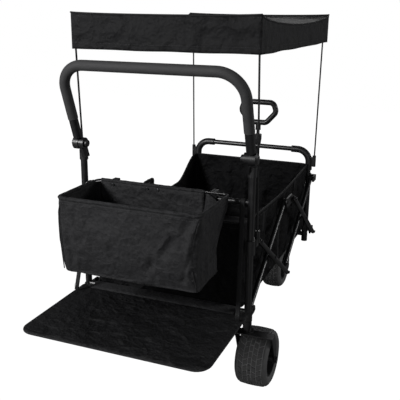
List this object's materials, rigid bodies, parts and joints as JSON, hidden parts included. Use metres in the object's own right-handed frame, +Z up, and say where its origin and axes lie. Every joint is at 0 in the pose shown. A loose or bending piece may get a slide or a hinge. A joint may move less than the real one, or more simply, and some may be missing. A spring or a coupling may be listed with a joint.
{
  "type": "folding push-pull wagon",
  "caption": "Folding utility wagon with push bar, telescoping pull handle, canopy on corner poles, fabric tub, lift-off rear basket and fold-down rear deck.",
  "frame": {"origin": "middle of the overall box, on the ground under the wheels", "axes": "+Z up; +Y towards the pull handle at the front, along the wagon's length; +X to the right seen from the push bar"},
  "size_m": [0.762, 1.356, 1.15],
  "materials": {
    "painted_frame": "powder-coated, satin",
    "fastener": "blackened",
    "bright_tube": "black anodised",
    "moulded": "moulded, semi-matt",
    "foam_grip": "foam, matt",
    "tyre": "matt rubber",
    "cloth": "woven polyester"
  },
  "bodies": {
    "rear_frame": {"rear_posts": "painted_frame", "rear_lower_crossbar": "painted_frame", "rear_upper_crossbar": "painted_frame", "rear_pivot_brackets": "moulded", "tilt_hub_bases": "moulded", "rear_wheel_brackets": "painted_frame", "rear_axle_bolts": "fastener", "tub_fabric": "cloth", "floor_mat": "cloth", "deck_straps": "cloth"},
    "push_bar": {"push_bar_tube": "painted_frame", "push_bar_grip": "foam_grip", "push_bar_hubs": "moulded"},
    "tilt_button_left": {"tilt_button_left": "moulded"},
    "tilt_button_right": {"tilt_button_right": "moulded"},
    "rear_wheel_left": {"rear_tyre_left": "tyre", "rear_rim_left": "moulded"},
    "rear_wheel_right": {"rear_tyre_right": "tyre", "rear_rim_right": "moulded"},
    "basket": {"basket_frame": "painted_frame", "basket_fabric": "cloth"},
    "deck": {"deck_panel": "cloth"},
    "link_rear_rising_right": {"link_rear_rising_right": "painted_frame", "rear_link_pins_right": "fastener"},
    "link_rear_falling_right": {"link_rear_falling_right": "painted_frame"},
    "rear_slider_right": {"rear_slider_right": "moulded", "rear_canopy_pole_right": "painted_frame", "canopy_fabric": "cloth"},
    "top_bracket_right": {"top_bracket_right": "moulded"},
    "bottom_bracket_right": {"bottom_bracket_right": "moulded"},
    "link_front_falling_right": {"link_front_falling_right": "painted_frame", "front_link_pins_right": "fastener"},
    "link_front_rising_right": {"link_front_rising_right": "painted_frame"},
    "front_frame": {"front_lower_frame": "painted_frame", "caster_sockets": "painted_frame", "handle_hinge_bracket": "moulded"},
    "front_hoop": {"front_hoop": "painted_frame", "hoop_corners": "moulded", "hoop_link_brackets": "moulded", "front_canopy_poles": "painted_frame"},
    "link_rear_rising_left": {"link_rear_rising_left": "painted_frame", "rear_link_pins_left": "fastener"},
    "link_rear_falling_left": {"link_rear_falling_left": "painted_frame"},
    "rear_slider_left": {"rear_slider_left": "moulded", "rear_canopy_pole_left": "painted_frame"},
    "top_bracket_left": {"top_bracket_left": "moulded"},
    "bottom_bracket_left": {"bottom_bracket_left": "moulded"},
    "link_front_falling_left": {"link_front_falling_left": "painted_frame", "front_link_pins_left": "fastener"},
    "link_front_rising_left": {"link_front_rising_left": "painted_frame"},
    "caster_fork_left": {"caster_fork_left": "painted_frame"},
    "caster_fork_right": {"caster_fork_right": "painted_frame"},
    "caster_wheel_left": {"caster_tyre_left": "tyre", "caster_rim_left": "moulded"},
    "caster_wheel_right": {"caster_tyre_right": "tyre", "caster_rim_right": "moulded"},
    "pull_handle": {"handle_outer_tube": "painted_frame", "handle_collar": "moulded"},
    "handle_extension": {"handle_inner_tube": "bright_tube", "handle_grip": "moulded"}
  },
  "joints": [
    {"name": "fold", "type": "hinge", "parent": "rear_frame", "child": "link_rear_rising_right", "pos_m": [0.276, -0.238, 0.2406], "axis": [1, 0, 0], "range_deg": [0, 42.8], "deforming": ["tub_fabric", "floor_mat", "canopy_fabric"]},
    {"name": "rear_crossing_right", "type": "hinge", "parent": "link_rear_rising_right", "child": "link_rear_falling_right", "pos_m": [0.288, -0.05974, 0.357], "axis": [1, 0, 0], "range_deg": [-85.6, 0]},
    {"name": "slider_pivot_right", "type": "hinge", "parent": "link_rear_falling_right", "child": "rear_slider_right", "pos_m": [0.288, -0.238, 0.4734], "axis": [1, 0, 0], "range_deg": [0, 42.8]},
    {"name": "top_rear_pivot_right", "type": "hinge", "parent": "link_rear_rising_right", "child": "top_bracket_right", "pos_m": [0.288, 0.147, 0.492], "axis": [1, 0, 0], "range_deg": [-42.8, 0]},
    {"name": "bottom_rear_pivot_right", "type": "hinge", "parent": "link_rear_falling_right", "child": "bottom_bracket_right", "pos_m": [0.288, 0.147, 0.222], "axis": [1, 0, 0], "range_deg": [0, 42.8]},
    {"name": "top_front_pivot_right", "type": "hinge", "parent": "top_bracket_right", "child": "link_front_falling_right", "pos_m": [0.288, 0.207, 0.492], "axis": [1, 0, 0], "range_deg": [-42.8, 0]},
    {"name": "front_crossing_right", "type": "hinge", "parent": "link_front_falling_right", "child": "link_front_rising_right", "pos_m": [0.288, 0.41374, 0.357], "axis": [1, 0, 0], "range_deg": [0, 85.6]},
    {"name": "front_frame_pivot", "type": "hinge", "parent": "link_front_falling_right", "child": "front_frame", "pos_m": [0.288, 0.592, 0.2406], "axis": [1, 0, 0], "range_deg": [0, 42.8]},
    {"name": "front_hoop_pivot", "type": "hinge", "parent": "link_front_rising_right", "child": "front_hoop", "pos_m": [0.288, 0.592, 0.4734], "axis": [1, 0, 0], "range_deg": [-42.8, 0]},
    {"name": "fold_left", "type": "hinge", "parent": "rear_frame", "child": "link_rear_rising_left", "pos_m": [-0.276, -0.238, 0.2406], "axis": [1, 0, 0], "range_deg": [0, 42.8]},
    {"name": "rear_crossing_left", "type": "hinge", "parent": "link_rear_rising_left", "child": "link_rear_falling_left", "pos_m": [-0.288, -0.05974, 0.357], "axis": [1, 0, 0], "range_deg": [-85.6, 0]},
    {"name": "slider_pivot_left", "type": "hinge", "parent": "link_rear_falling_left", "child": "rear_slider_left", "pos_m": [-0.288, -0.238, 0.4734], "axis": [1, 0, 0], "range_deg": [0, 42.8]},
    {"name": "top_rear_pivot_left", "type": "hinge", "parent": "link_rear_rising_left", "child": "top_bracket_left", "pos_m": [-0.288, 0.147, 0.492], "axis": [1, 0, 0], "range_deg": [-42.8, 0]},
    {"name": "bottom_rear_pivot_left", "type": "hinge", "parent": "link_rear_falling_left", "child": "bottom_bracket_left", "pos_m": [-0.288, 0.147, 0.222], "axis": [1, 0, 0], "range_deg": [0, 42.8]},
    {"name": "top_front_pivot_left", "type": "hinge", "parent": "top_bracket_left", "child": "link_front_falling_left", "pos_m": [-0.288, 0.207, 0.492], "axis": [1, 0, 0], "range_deg": [-42.8, 0]},
    {"name": "front_crossing_left", "type": "hinge", "parent": "link_front_falling_left", "child": "link_front_rising_left", "pos_m": [-0.288, 0.41374, 0.357], "axis": [1, 0, 0], "range_deg": [0, 85.6]},
    {"name": "push_bar_tilt", "type": "hinge", "parent": "rear_frame", "child": "push_bar", "pos_m": [0, -0.314, 0.748], "axis": [1, 0, 0], "range_deg": [-6, 70]},
    {"name": "tilt_button_right_press", "type": "slide", "parent": "rear_frame", "child": "tilt_button_right", "axis": [1, 0, 0], "range_m": [0, 0.005], "stiffness_N_per_m": 300},
    {"name": "tilt_button_left_press", "type": "slide", "parent": "rear_frame", "child": "tilt_button_left", "axis": [-1, 0, 0], "range_m": [0, 0.005], "stiffness_N_per_m": 300},
    {"name": "rear_wheel_spin_right", "type": "hinge", "parent": "rear_frame", "child": "rear_wheel_right", "pos_m": [0.315, -0.266, 0.0935], "axis": [1, 0, 0], "continuous": true},
    {"name": "caster_swivel_right", "type": "hinge", "parent": "front_frame", "child": "caster_fork_right", "pos_m": [0.164, 0.552, 0.197], "axis": [0, 0, 1], "continuous": true},
    {"name": "caster_wheel_spin_right", "type": "hinge", "parent": "caster_fork_right", "child": "caster_wheel_right", "pos_m": [0.164, 0.507, 0.093], "axis": [1, 0, 0], "continuous": true},
    {"name": "rear_wheel_spin_left", "type": "hinge", "parent": "rear_frame", "child": "rear_wheel_left", "pos_m": [-0.315, -0.266, 0.0935], "axis": [1, 0, 0], "continuous": true},
    {"name": "caster_swivel_left", "type": "hinge", "parent": "front_frame", "child": "caster_fork_left", "pos_m": [-0.164, 0.552, 0.197], "axis": [0, 0, 1], "continuous": true},
    {"name": "caster_wheel_spin_left", "type": "hinge", "parent": "caster_fork_left", "child": "caster_wheel_left", "pos_m": [-0.164, 0.507, 0.093], "axis": [1, 0, 0], "continuous": true},
    {"name": "handle_swing", "type": "hinge", "parent": "front_frame", "child": "pull_handle", "pos_m": [0.015, 0.661, 0.215], "axis": [1, 0, 0], "range_deg": [-85, 0]},
    {"name": "handle_extend", "type": "slide", "parent": "pull_handle", "child": "handle_extension", "axis": [0, 0, 1], "range_m": [0, 0.2]},
    {"name": "basket_lift", "type": "slide", "parent": "rear_frame", "child": "basket", "axis": [0, 0, 1], "range_m": [0, 0.06]},
    {"name": "deck_hinge", "type": "hinge", "parent": "rear_frame", "child": "deck", "pos_m": [0, -0.294, 0.255], "axis": [-1, 0, 0], "range_deg": [0, 20], "deforming": ["deck_straps"]}
  ],
  "couplings": [
    {"joint": "rear_crossing_right", "follows": "fold", "ratio": -2},
    {"joint": "slider_pivot_right", "follows": "fold", "ratio": 1},
    {"joint": "top_rear_pivot_right", "follows": "fold", "ratio": -1},
    {"joint": "bottom_rear_pivot_right", "follows": "fold", "ratio": 1},
    {"joint": "top_front_pivot_right", "follows": "fold", "ratio": -1},
    {"joint": "front_crossing_right", "follows": "fold", "ratio": 2},
    {"joint": "front_frame_pivot", "follows": "fold", "ratio": 1},
    {"joint": "front_hoop_pivot", "follows": "fold", "ratio": -1},
    {"joint": "fold_left", "follows": "fold", "ratio": 1},
    {"joint": "rear_crossing_left", "follows": "fold", "ratio": -2},
    {"joint": "slider_pivot_left", "follows": "fold", "ratio": 1},
    {"joint": "top_rear_pivot_left", "follows": "fold", "ratio": -1},
    {"joint": "bottom_rear_pivot_left", "follows": "fold", "ratio": 1},
    {"joint": "top_front_pivot_left", "follows": "fold", "ratio": -1},
    {"joint": "front_crossing_left", "follows": "fold", "ratio": 2}
  ]
}
